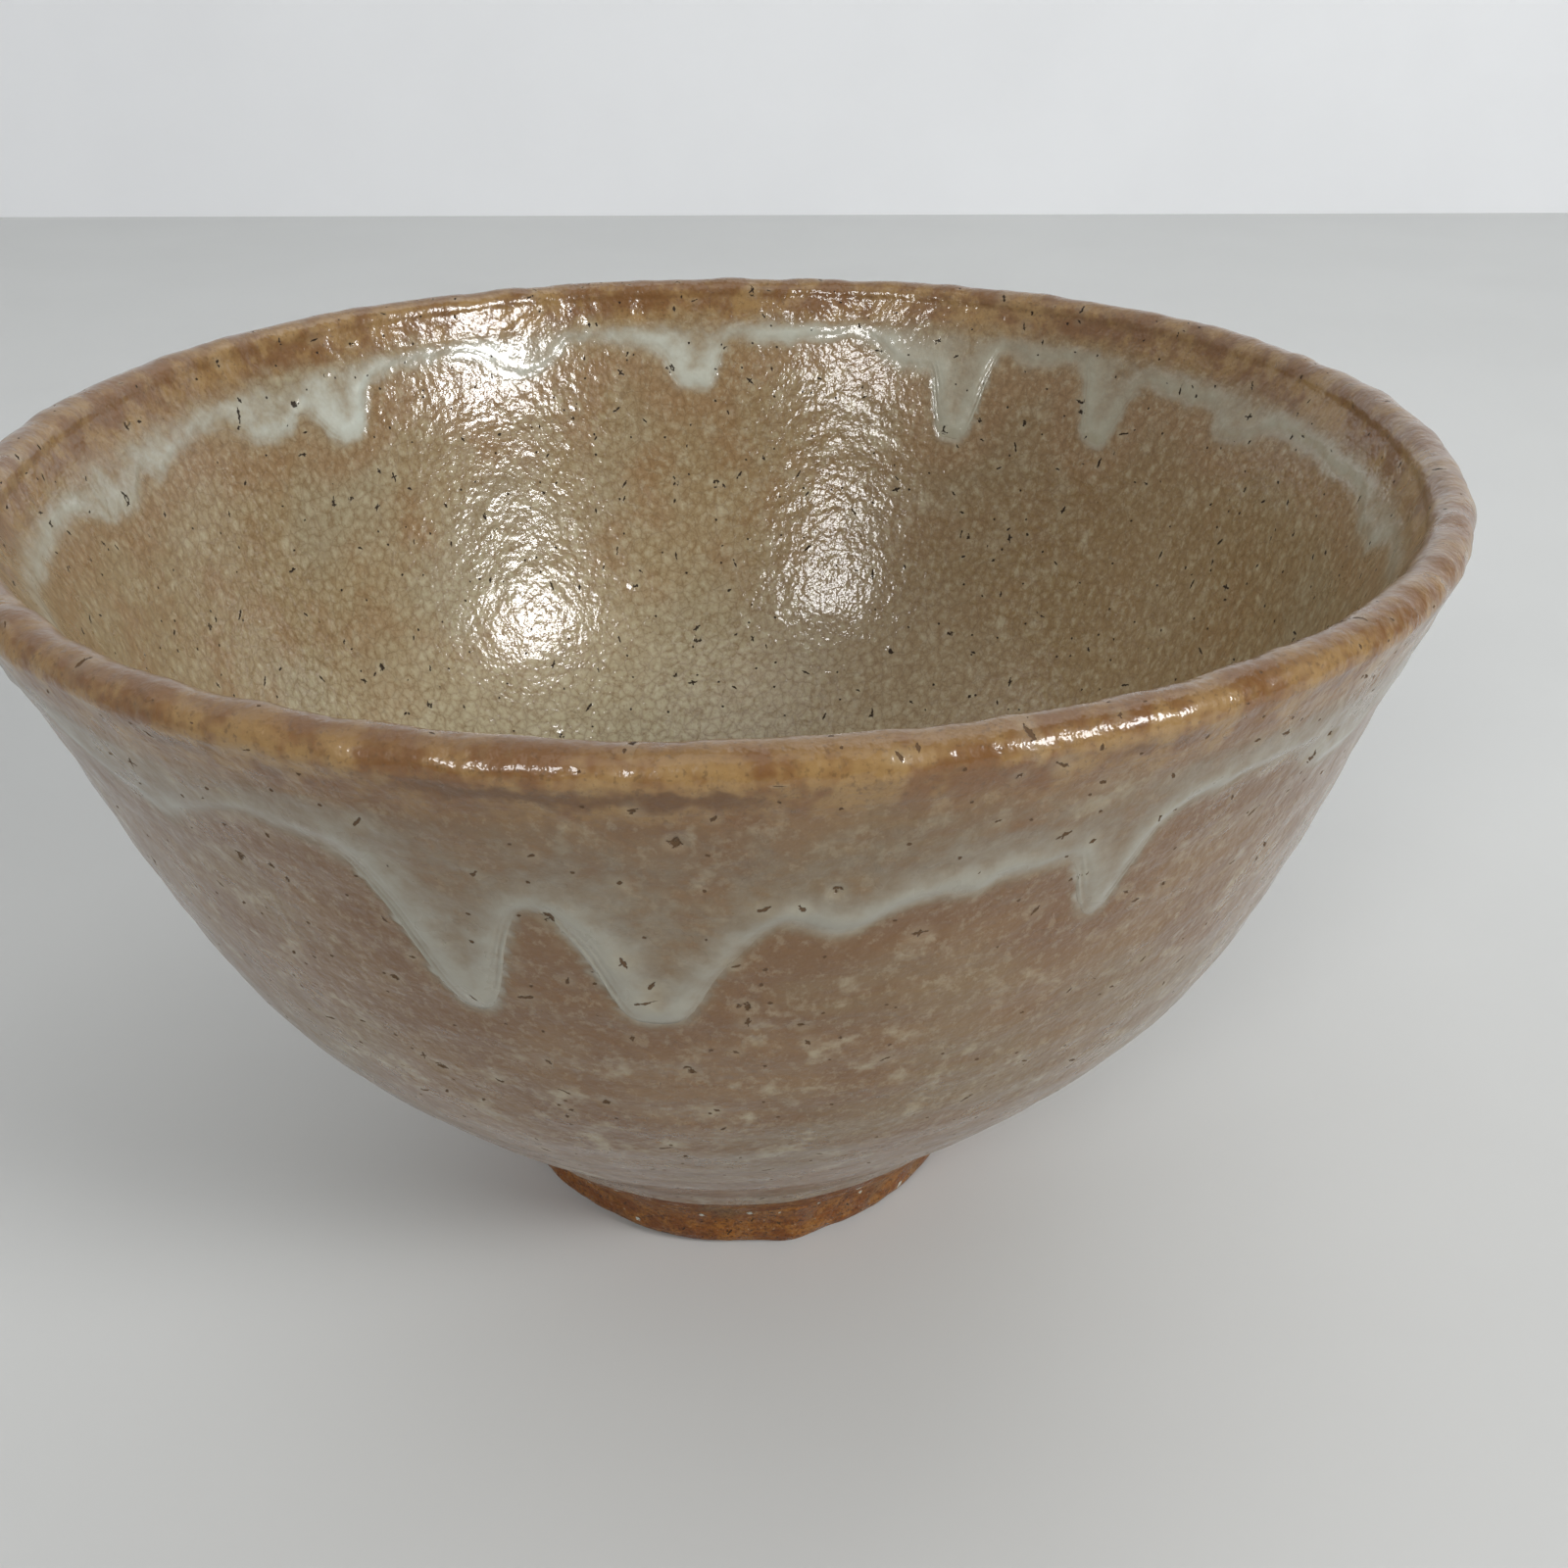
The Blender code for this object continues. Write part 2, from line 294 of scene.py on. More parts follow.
def relief(azimuth, along):
    """How far the finished surface stands off the turned form."""
    points = place(azimuth, along, 0.0)
    outside = smooth_step(-2 * MM, 2 * MM, along)
    lip = 1 - smooth_step(4 * MM, 9 * MM, np.abs(along))
    turn = along / (RING_PITCH * MM) + azimuth / (2 * pi) + 0.4 * noise(points, 30 * MM, 3)
    uneven = 0.6 + 0.4 * noise(points, 26 * MM, 4)
    rings = np.sin(2 * pi * turn) * (INSIDE_RINGS + OUTSIDE_RINGS * outside * uneven) * MM
    fine = np.sin(2 * pi * (along / (FINE_RING_PITCH * MM) + azimuth / pi))
    fine = fine * FINE_RINGS * MM * outside * uneven
    dents = (0.13 + 0.05 * outside) * noise(points, 24 * MM, 11) + 0.03 * noise(points, 7 * MM, 12)
    peel = 0.03 * MM * noise(points, 2.6 * MM, 13)
    lumps = 0.14 * noise(points, 4.5 * MM, 14) + 0.09 * noise(points, 2 * MM, 15)
    lumps += 0.35 * np.maximum(noise(points, 5 * MM, 16) - 0.25, 0)
    lift = (rings + fine) * (1 - lip) + dents * MM * (1 - 0.6 * lip) + peel + lumps * MM * lip
    for centre, radius in PITS:
        away = np.linalg.norm(points - centre, axis=-1) / radius
        lift -= PIT_DEPTH * MM * np.exp(-2 * away**2) - 0.05 * MM * np.exp(-2 * (away - 1.3) ** 2)
    return lift


def pit_marks(points):
    """How near points are to the middle of a pit: 1 in the middle, 0 from just past its radius."""
    near = np.zeros(points.shape[:-1])
    for centre, radius in PITS:
        away = np.linalg.norm(points - centre, axis=-1)
        near = np.maximum(near, 1 - away / (1.2 * radius))
    return near


def solid(name, points, attributes, ends_on_axis):
    """A closed mesh from points[column, row]. Its rows either close on themselves or end on the axis
    at both ends. attributes holds a value for each point."""
    columns, rows = points.shape[:2]
    flat = points.reshape(-1, 3)
    number = np.arange(columns * rows).reshape(columns, rows)
    following = np.roll(number, -1, axis=0)
    quads = np.stack([number[:, :-1], number[:, 1:], following[:, 1:], following[:, :-1]], -1)
    faces = quads.reshape(-1, 4).tolist()
    values = {key: list(value.reshape(-1)) for key, value in attributes.items()}
    if ends_on_axis:
        poles = [points[:, 0].mean(axis=0), points[:, -1].mean(axis=0)]
        flat = np.vstack([flat, *poles])
        first, last = columns * rows, columns * rows + 1
        faces += [[first, a, b] for a, b in zip(number[:, 0].tolist(), following[:, 0].tolist())]
        faces += [[last, b, a] for a, b in zip(number[:, -1].tolist(), following[:, -1].tolist())]
        for key, value in attributes.items():
            values[key] += [value[:, 0].mean(), value[:, -1].mean()]
    else:
        seam = np.stack([number[:, -1], number[:, 0], following[:, 0], following[:, -1]], -1)
        faces += seam.tolist()
    mesh = bpy.data.meshes.new(name)
    mesh.from_pydata(flat.tolist(), [], faces)
    for key, value in values.items():
        mesh.attributes.new(key, "FLOAT", "POINT").data.foreach_set("value", np.array(value, np.float32))
    mesh.shade_smooth()
    piece = bpy.data.objects.new(name, mesh)
    bpy.context.scene.collection.objects.link(piece)
    return piece


def columns_and_rows(columns, alongs):
    """Grids of azimuth and of distance along the section. alongs may differ from column to column."""
    azimuth = np.linspace(-pi, pi, columns, endpoint=False)[:, None]
    along = np.broadcast_to(alongs, (columns, alongs.shape[-1]))
    return np.broadcast_to(azimuth, along.shape), along


def place(azimuth, along, lift):
    """Points on the bowl, lifted off the turned form."""
    radius, height = SECTION.at(along, lift)
    return by_hand(np.maximum(radius, 0), azimuth, height)


def marks(azimuth, along, ash_edge=None, foot_edge=20.0):
    """The values that the glaze's material reads: millimetres down from the lip, which side of the
    wall it is, how white the ash glaze is, how near it is to the line just below the ash glaze,
    where the glaze runs thin and brown, how near it is to a pit's middle, how much painted shade
    and browner glaze the inside's back right has, and millimetres from the glaze's edge above the foot."""
    down = np.abs(along) - SECTION.lip
    values = {"down": down / MM, "inside": smooth_step(1 * MM, -1 * MM, along), "edge": foot_edge}
    values.update(ash=0.0, halo=0.0, pit=pit_marks(place(azimuth, along, 0)))
    # Painted shade, partly a browner glaze: strongest on the inside's back right, fading away from it.
    values["shade_and_brown"] = 0.7 * np.maximum(np.cos(azimuth - SHADED_BROWN_AZIMUTH), 0) ** 2
    if ash_edge:
        within = ash_edge.within(azimuth, down)
        values["ash"] = ash_edge.whiteness(azimuth, down, within)
        values["halo"] = np.exp(-(((within + 2.6) / 2.4) ** 2))
    return {key: np.broadcast_to(value, along.shape) for key, value in values.items()}


def with_back(values, step):
    """Repeats values of a piece's front for its back, which has one row for each step rows."""
    return {key: np.concatenate([value, value[:, ::-step]], axis=1) for key, value in values.items()}


def make_body():
    """The clay body. It shows at the lip and under the glaze's lower edge, and lies under the glaze."""
    underside = np.array([
        (30.2, 8.1), (27.0, 8.0), (23.0, 8.0), (19.0, 8.0), (18.2, 7.6), (17.6, 6.7), (15.0, 6.4),
        (12.0, 6.3), (9.0, 6.25), (6.0, 6.1), (4.0, 5.7), (2.5, 5.2), (1.2, 4.95), (0.4, 4.9),
    ]) * MM
    bare = SECTION.outside_end - 7 * MM
    glazed = np.concatenate([
        np.linspace(SECTION.inside_end + 0.5 * MM, -9 * MM, 14),
        np.linspace(-8.6 * MM, 8.6 * MM, 60),
        np.linspace(9 * MM, bare, 14),
    ])
    above_foot = np.linspace(bare + 0.4 * MM, SECTION.outside_end, 20)
    azimuth, along = columns_and_rows(COLUMNS, np.concatenate([glazed, above_foot]))
    hidden = smooth_step(SECTION.lip + 2.6 * MM, SECTION.lip + 4 * MM, np.abs(along))
    hidden *= 1 - smooth_step(bare, bare + 2.5 * MM, along)
    wall = place(azimuth, along, relief(azimuth, along) - 0.5 * MM * hidden)
    turn = azimuth[:, :1] + np.zeros(len(underside))
    knife = 0.10 * MM * np.sin(3 * turn + underside[:, 0] / (1.4 * MM))
    below = by_hand(underside[:, 0] + 0 * turn, turn, underside[:, 1] + knife)
    points = np.concatenate([wall, below], axis=1)
    along = np.concatenate([along, np.full(turn.shape, SECTION.outside_end)], axis=1)
    values = marks(azimuth[:, :1] + 0 * along, along)
    body = solid("stoneware_body", points, values, True)
    body.data.materials.append(glaze_material("glazed_lip"))
    body.data.materials.append(clay_material("bare_clay", 0.6))
    bands = points.shape[1] - 1
    band = np.arange(COLUMNS * bands) % bands
    is_bare = np.concatenate([band >= len(glazed) - 1, np.repeat([False, True], COLUMNS)])
    body.data.polygons.foreach_set("material_index", is_bare.astype(np.int32))
    return body


def glaze_rim(along, upper):
    """How far the glaze's surface sinks below the clay where it thins out towards the lip."""
    return 0.03 * MM * (1 - smooth_step(upper, upper + 0.9 * MM, np.abs(along)))


def make_inner_glaze():
    """The glaze inside, down to the pool on the floor."""
    top = SECTION.lip + 1.6 * MM
    alongs = np.linspace(SECTION.inside_end + 0.8 * MM, -top, 150)
    azimuth, along = columns_and_rows(COLUMNS, alongs)
    front = place(azimuth, along, relief(azimuth, along) - glaze_rim(along, top))
    back = place(azimuth[:, ::-10], along[:, ::-10], -GLAZE_THICKNESS)
    points = np.concatenate([front, back], axis=1)
    values = with_back(marks(azimuth, along, INNER_EDGE), 10)
    glaze = solid("glaze_inside", points, values, True)
    glaze.data.materials.append(glaze_material("feldspar_glaze_inside"))
    return glaze


def glaze_foot_edge(azimuth):
    """Where the outer glaze ends above the foot."""
    wave = 0.6 * np.sin(3 * azimuth + 1) + 0.4 * np.sin(8 * azimuth) + 0.25 * np.sin(17 * azimuth)
    return SECTION.outside_end - 3.6 * MM + 0.9 * MM * wave


def make_outer_glaze():
    """The glaze outside, from the lip to its wavy edge above the foot."""
    top = SECTION.lip + 1.8 * MM
    part = np.linspace(0, 1, 140)
    azimuth = np.linspace(-pi, pi, COLUMNS, endpoint=False)[:, None]
    end = glaze_foot_edge(azimuth)
    azimuth, along = columns_and_rows(COLUMNS, top + (end - top) * part)
    edge = (end - along) / MM
    rolled = 0.4 * MM * np.exp(-((edge / 0.8) ** 2)) - 0.16 * MM * np.exp(-(((edge - 1.6) / 1.1) ** 2))
    front = place(azimuth, along, relief(azimuth, along) - glaze_rim(along, top) - rolled)
    back = place(azimuth[:, ::-10], along[:, ::-10], -GLAZE_THICKNESS)
    points = np.concatenate([front, back], axis=1)
    values = with_back(marks(azimuth, along, OUTER_EDGE, edge), 10)
    glaze = solid("glaze_outside", points, values, False)
    glaze.data.materials.append(glaze_material("feldspar_glaze_outside"))
    return glaze


OUTER_EDGE = AshEdge(1, OUTER_ASH, OUTER_RUNS)
INNER_EDGE = AshEdge(-1, INNER_ASH, INNER_RUNS)


def make_ash(name, edge, rows=56):
    """The ash glaze on one side of the wall. It swells along its lower edge and at the runs' tips."""
    part = np.linspace(0, 1, rows)
    reach = edge.reach[:, None]
    down = edge.start + (reach - edge.start) * part
    azimuth = np.broadcast_to(edge.azimuth[:, None], down.shape)
    along = edge.side * (SECTION.lip + down)
    within = edge.within(azimuth, down)
    run = smooth_step(5 * MM, 12 * MM, reach - edge.end)
    rim = np.exp(-(((within - 1.3) / 1.1) ** 2))
    tip = run * np.exp(-(reach - down) / (2.6 * MM))
    swell = smooth_step(0, 2.2, within) * (0.08 + 0.14 * rim + 0.26 * tip)
    fade = smooth_step(0, 2.5 * MM, down - edge.start)
    lift = (swell * fade - 0.03 * (1 - fade) - 0.01) * MM
    front = place(azimuth, along, relief(azimuth, along) + lift)
    back = place(azimuth[:, ::-11], along[:, ::-11], -ASH_THICKNESS)
    points = np.concatenate([front, back], axis=1)
    values = with_back(marks(azimuth, along, edge), 11)
    if edge.side < 0:
        points = points[:, ::-1]
        values = {key: value[:, ::-1] for key, value in values.items()}
    ash = solid(name, points, values, False)
    ash.data.materials.append(glaze_material(name))
    return ash


def make_foot():
    """The foot ring, trimmed with a knife: faceted, pitted and chipped."""
    outline = np.array([
        (19.0, 8.3), (24.0, 8.6), (30.4, 8.6), (30.2, 7.6), (29.6, 6.4), (29.1, 5.2), (28.8, 4.0),
        (28.6, 2.8), (28.4, 1.7), (28.0, 0.8), (27.4, 0.2), (26.4, 0.0), (24.4, 0.0), (22.6, 0.0),
        (21.2, 0.1), (20.4, 0.6), (19.9, 1.6), (19.6, 3.2), (19.4, 5.6),
    ]) * MM
    line = np.vstack([outline, outline[:1]])
    fine = np.linspace(0, len(outline), len(outline) * 5, endpoint=False)
    knots = np.arange(len(outline) + 1)
    radius, height = (np.interp(fine, knots, column) for column in line.T)
    azimuth = np.linspace(-pi, pi, COLUMNS, endpoint=False)[:, None]
    corner = sum(
        size * np.exp(-(((azimuth - radians(centre) + pi) % (2 * pi) - pi) / radians(wide)) ** 2)
        for centre, size, wide in ((-78, 0.75, 6), (-107, 0.35, 9), (30, 0.5, 8), (140, 0.6, 7))
    )
    cut = (corner - 0.25 + 0.15 * np.cos(5 * azimuth + 0.6)) * MM
    outer = smooth_step(22 * MM, 26 * MM, radius)
    points = by_hand(radius + cut * outer, azimuth + 0 * radius, height + 0 * azimuth)
    middle = by_hand(np.full(1, 24 * MM), azimuth, np.full(1, 4 * MM))
    outward = points - middle
    outward /= np.linalg.norm(outward, axis=-1, keepdims=True)
    rough = 0.16 * noise(points, 4 * MM, 21) + 0.09 * noise(points, 1.5 * MM, 22)
    rough += 0.22 * np.minimum(noise(points, 2.6 * MM, 23) + 0.35, 0)
    standing = smooth_step(0.1 * MM, 1.2 * MM, points[..., 2])
    points = points + outward * (rough * standing)[..., None] * MM
    foot = solid("trimmed_foot", points, {}, False)
    foot.data.materials.append(clay_material("foot_clay", 0.45))
    return foot


class Shader:
    """A material's nodes, with short ways to add them. Lengths in it are millimetres."""

    def __init__(self, name):
        self.material = bpy.data.materials.new(name)
        self.material.use_nodes = True
        self.tree = self.material.node_tree
        self.surface = self.tree.nodes["Principled BSDF"]
        coordinates = self.tree.nodes.new("ShaderNodeTexCoord")
        self.facing = coordinates.outputs["Normal"]
        self.place = self.vector("SCALE", coordinates.outputs["Object"], 1 / MM)

    def feed(self, socket, value):
        """Links a node's output to a socket, or sets the socket's own value."""
        if isinstance(value, bpy.types.NodeSocket):
            self.tree.links.new(value, socket)
        elif isinstance(value, tuple) and len(value) == 3 and socket.type == "RGBA":
            socket.default_value = (*value, 1)
        else:
            socket.default_value = value

    def node(self, kind, settings, inputs, output=0):
        """Adds a node and returns one of its outputs."""
        made = self.tree.nodes.new(kind)
        for key, value in settings.items():
            setattr(made, key, value)
        for key, value in inputs.items():
            self.feed(made.inputs[key], value)
        return made.outputs[output]

    def math(self, operation, a, b=0.0):
        return self.node("ShaderNodeMath", {"operation": operation}, {0: a, 1: b})

    def times(self, *values):
        """The product of the values."""
        return reduce(lambda a, b: self.math("MULTIPLY", a, b), values)

    def most(self, *values):
        """The greatest of the values."""
        return reduce(lambda a, b: self.math("MAXIMUM", a, b), values)

    def step(self, value, low, high, start=0.0, end=1.0):
        """A smooth change from start to end as the value goes from low to high."""
        settings = {"interpolation_type": "SMOOTHSTEP"}
        return self.node("ShaderNodeMapRange", settings, {0: value, 1: low, 2: high, 3: start, 4: end})

    def mix(self, factor, a, b):
        settings = {"data_type": "RGBA", "clamp_factor": True}
        return self.node("ShaderNodeMix", settings, {0: factor, 6: a, 7: b}, 2)

    def noise(self, size, detail=2.0, roughness=0.5, shift=0.0, stretch=(1, 1, 1)):
        """Noise from 0 to 1 that changes over about that size."""
        settings = {"operation": "MULTIPLY_ADD"}
        inputs = {0: self.place, 1: stretch, 2: (shift, 0.7 * shift, -shift)}
        vector = self.node("ShaderNodeVectorMath", settings, inputs)
        inputs = {"Vector": vector, "Scale": 1 / size, "Detail": detail, "Roughness": roughness}
        return self.node("ShaderNodeTexNoise", {}, inputs)

    def attribute(self, name):
        return self.node("ShaderNodeAttribute", {"attribute_name": name}, {}, 2)

    def vector(self, operation, a, b, output=0):
        place_of_b = 3 if operation == "SCALE" else 1
        return self.node("ShaderNodeVectorMath", {"operation": operation}, {0: a, place_of_b: b}, output)

    def spots(self, size, shift):
        """Scattered spots on the surface: the way from the nearest one, and its random colour."""
        moved = self.vector("ADD", self.place, (shift,) * 3)
        cell = self.tree.nodes.new("ShaderNodeTexVoronoi")
        self.feed(cell.inputs["Vector"], moved)
        self.feed(cell.inputs["Scale"], 1 / size)
        away = self.vector("SUBTRACT", moved, cell.outputs["Position"])
        off = self.vector("SCALE", self.facing, self.vector("DOT_PRODUCT", away, self.facing, 1))
        return self.vector("SUBTRACT", away, off), cell.outputs["Color"]

    def cuts(self, size, length, width, share, shift):
        """Short thin cuts at random angles, in that share of the spots: 1 in a cut, 0 elsewhere. Some
        have a second arm. The other value is how near a cut is."""
        away, colour = self.spots(size, shift)
        red, green, blue = (self.node("ShaderNodeSeparateColor", {}, {0: colour}, i) for i in range(3))
        chosen = self.math("LESS_THAN", red, share)
        wobble = self.times(self.math("SUBTRACT", self.noise(0.35, 1, shift=shift), 0.5), width * 3)
        aim = self.vector("SUBTRACT", colour, (0.5, 0.5, 0.5))
        other = self.node("ShaderNodeCombineXYZ", {}, {0: green, 1: blue, 2: red})
        other = self.vector("SUBTRACT", other, (0.5, 0.5, 0.5))
        found = 0.0
        for direction, reach, present in ((aim, length, 1.0), (other, 0.6 * length, green)):
            direction = self.vector("CROSS_PRODUCT", direction, self.facing)
            direction = self.node("ShaderNodeVectorMath", {"operation": "NORMALIZE"}, {0: direction})
            along = self.vector("DOT_PRODUCT", away, direction, 1)
            across = self.vector("DISTANCE", away, self.vector("SCALE", direction, along), 1)
            part = self.math("DIVIDE", along, reach)
            taper = self.math("SUBTRACT", 1.0, self.times(part, part))
            depth = self.math("SUBTRACT", self.times(taper, width), across)
            mask = self.step(self.math("ADD", depth, wobble), -0.02, 0.035)
            end = self.step(self.math("ABSOLUTE", part), 1.0, 0.9)
            found = self.most(found, self.times(mask, end, self.step(present, 0.5, 0.52)))
        near = self.step(self.vector("LENGTH", away, (0, 0, 0), 1), 1.5 * length + 0.6, 0.3)
        return self.times(found, chosen), self.times(near, chosen)

    def bump(self, height, distance, normal=None):
        """Tilts the normal by a height from 0 to 1 that stands for a distance in millimetres."""
        inputs = {"Height": height, "Distance": distance * MM, "Strength": 1.0}
        if normal is not None:
            inputs["Normal"] = normal
        return self.node("ShaderNodeBump", {}, inputs)


def wall_colour(g, mottle, grain):
    """The beige glaze, warmer, greyer and paler in patches, and mottled all over."""
    inside, halo = g.attribute("inside"), g.attribute("halo")
    broad = g.noise(24, 2, shift=3)
    patch = g.noise(8, 3, 0.6, shift=11)
    cloud = g.noise(3.4, 3, 0.6, shift=17)
    streak = g.noise(5, 3, 0.6, shift=71, stretch=(0.3, 0.3, 3))
    within = g.mix(g.step(patch, 0.46, 0.66, 0, 0.75), INSIDE_BEIGE, INSIDE_WARM)
    within = g.mix(g.step(broad, 0.5, 0.68, 0, 0.7), within, INSIDE_GREY)
    # Paler further down inside: partly pooled glaze, partly painted sheen from the windows' glare.
    within = g.mix(g.step(g.attribute("down"), 26, 72, 0, 0.9), within, POOLED_GLAZE_AND_SHEEN)
    # Painted shade on the inside's back right, partly a browner glaze.
    within = g.mix(g.attribute("shade_and_brown"), within, INSIDE_SHADED_BROWN)
    # The outside colours carry painted shade as well as the glaze's own tone.
    without = g.mix(g.step(patch, 0.44, 0.66, 0, 0.8), OUTSIDE_BEIGE, OUTSIDE_WARM)
    without = g.mix(g.step(broad, 0.48, 0.68, 0, 0.7), without, OUTSIDE_GREY)
    without = g.mix(g.step(streak, 0.5, 0.66, 0, 0.5), without, OUTSIDE_WARM)
    colour = g.mix(inside, without, within)
    colour = g.mix(g.step(cloud, 0.54, 0.74, 0, 0.55), colour, PALE)
    colour = g.mix(g.times(halo, 0.75), colour, g.mix(inside, OUTSIDE_WARM, INSIDE_WARM))
    strength = g.step(inside, 0, 1, 0.22, 0.42)
    colour = g.mix(g.times(g.step(mottle, 0.5, 0.34), strength), colour, GAP)
    colour = g.mix(g.times(g.step(mottle, 0.5, 0.66), strength), colour, PALE)
    return g.mix(g.step(grain, 0.47, 0.3, 0, 0.3), colour, GAP)


def add_crackle(g, colour):
    """A net of fine cracks, with a paler middle to each cell. It shows more inside the bowl."""
    crackle = g.tree.nodes.new("ShaderNodeTexVoronoi")
    crackle.feature = "DISTANCE_TO_EDGE"
    g.feed(crackle.inputs["Vector"], g.vector("ADD", g.place, g.noise(1.5, 2, shift=5)))
    g.feed(crackle.inputs["Scale"], 1 / 1.6)
    clear = g.step(g.attribute("inside"), 0, 1, 0.3, 1)
    for low, high, start, end, tint in (
        (0.0, 0.3, 0.28, 0, GAP), (0.2, 0.5, 0, 0.22, PALE), (0.0, 0.05, 0.25, 0, SPECK)
    ):
        shown = g.step(crackle.outputs["Distance"], low, high, start, end)
        colour = g.mix(g.times(shown, clear), colour, tint)
    return colour


def add_lip(g, colour, mottle, grain):
    """Brown and ochre at the lip, where the glaze is thin, with a dark line below it outside."""
    inside, down = g.attribute("inside"), g.attribute("down")
    lip_place = g.math("ADD", down, g.times(g.noise(3.2, 3, 0.6, shift=31), 4.0))
    lip_colour = g.mix(g.step(g.noise(4.5, 3, 0.65, shift=37), 0.40, 0.62), LIP_BROWN, LIP_OCHRE)
    line = g.times(
        g.step(lip_place, 2.2, 3.0),
        g.step(lip_place, 4.4, 3.4),
        g.step(inside, 0.5, 0.0),
        g.step(g.noise(9, 2, shift=73), 0.38, 0.62, 0.1, 0.9),
    )
    lip_colour = g.mix(line, lip_colour, LIP_DARK)
    lip_colour = g.mix(g.step(down, -1.2, -2.8, 0, 0.5), lip_colour, LIP_DARK)
    lip_colour = g.mix(g.step(mottle, 0.5, 0.3, 0, 0.5), lip_colour, GAP)
    lip_colour = g.mix(g.step(grain, 0.45, 0.28, 0, 0.5), lip_colour, SPECK)
    brown = g.step(lip_place, 3.3, 6.8, 1, 0)
    return g.mix(g.times(brown, 0.9), colour, lip_colour)


def add_ash(g, colour):
    """The milky ash glaze: a thin veil over the beige, and white where it is thick."""
    inside, ash = g.attribute("inside"), g.attribute("ash")
    uneven = g.times(g.math("SUBTRACT", g.noise(2.2, 3, 0.6, shift=41), 0.5), 0.7)
    ash_place = g.math("ADD", ash, g.times(uneven, g.step(ash, 0, 0.25)))
    veil = g.mix(inside, VEIL_OUTSIDE, VEIL_INSIDE)
    colour = g.mix(g.step(ash_place, 0.0, 0.3, 0, 0.6), colour, veil)
    white = g.mix(inside, ASH_OUTSIDE, ASH_INSIDE)
    # Painted shade, partly a browner glaze: the inner ash glaze turns greyer towards the back right.
    white = g.mix(g.times(g.attribute("shade_and_brown"), inside), white, INSIDE_GREY)
    return g.mix(g.step(ash_place, 0.12, 0.85, 0, 0.92), colour, white)


def find_holes(g):
    """The cuts, pinholes and pits in the glaze: 1 in one, 0 elsewhere, and how near one is."""
    pit = g.attribute("pit")
    hairs, near_hairs = g.cuts(9.5, 0.75, 0.14, 0.45, 19.0)
    short, near_short = g.cuts(6.5, 0.42, 0.13, 0.4, 41.0)
    dots, _ = g.cuts(4.4, 0.19, 0.15, 0.4, 7.0)
    core = g.math("ADD", pit, g.times(g.noise(0.5, 2, 0.6, shift=83), 1.2))
    holes = g.most(hairs, short, dots, g.step(core, 1.22, 1.34))
    return holes, g.most(near_hairs, near_short, g.step(pit, 0, 0.4))


def glaze_material(name):
    """The glaze: beige, mottled and pitted, brown where it is thin, white under the ash glaze."""
    g = Shader(name)
    inside, ash = g.attribute("inside"), g.attribute("ash")
    mottle = g.noise(0.95, 3, 0.7, shift=23, stretch=(1, 1, 0.75))
    grain = g.noise(0.45, 2, 0.6, shift=29)
    holes, near_holes = find_holes(g)
    colour = add_crackle(g, wall_colour(g, mottle, grain))
    colour = add_ash(g, add_lip(g, colour, mottle, grain))
    colour = g.mix(g.step(g.attribute("edge"), 0.2, 2.0, 0.7, 0), colour, LIP_BROWN)
    colour = g.mix(g.times(near_holes, 0.16), colour, PALE)
    colour = g.mix(g.times(holes, 0.95), colour, g.mix(inside, SPECK, DARK))
    g.feed(g.surface.inputs["Base Color"], colour)

    rough = g.step(g.noise(5, 3, 0.6, shift=47), 0.35, 0.7, 0.26, 0.4)
    g.feed(g.surface.inputs["Roughness"], g.math("ADD", rough, g.times(holes, 0.5)))
    g.surface.inputs["IOR"].default_value = 1.5
    g.surface.inputs["Specular IOR Level"].default_value = 0.28
    coat = g.times(g.step(inside, 0, 0.5, 0.52, 0.7), g.math("SUBTRACT", 1.0, holes))
    g.feed(g.surface.inputs["Coat Weight"], coat)
    g.surface.inputs["Coat Roughness"].default_value = 0.07

    smoothness = g.step(ash, 0.1, 0.6, 1, 0.35)
    normal = g.bump(g.times(g.noise(2.4, 2, 0.5, shift=59), smoothness), 0.20)
    normal = g.bump(g.times(g.noise(0.8, 2, 0.5, shift=53), smoothness), 0.10, normal)
    normal = g.bump(g.math("SUBTRACT", 1.0, holes), 0.12, normal)
    g.feed(g.surface.inputs["Normal"], normal)
    g.feed(g.surface.inputs["Coat Normal"], normal)
    return g.material


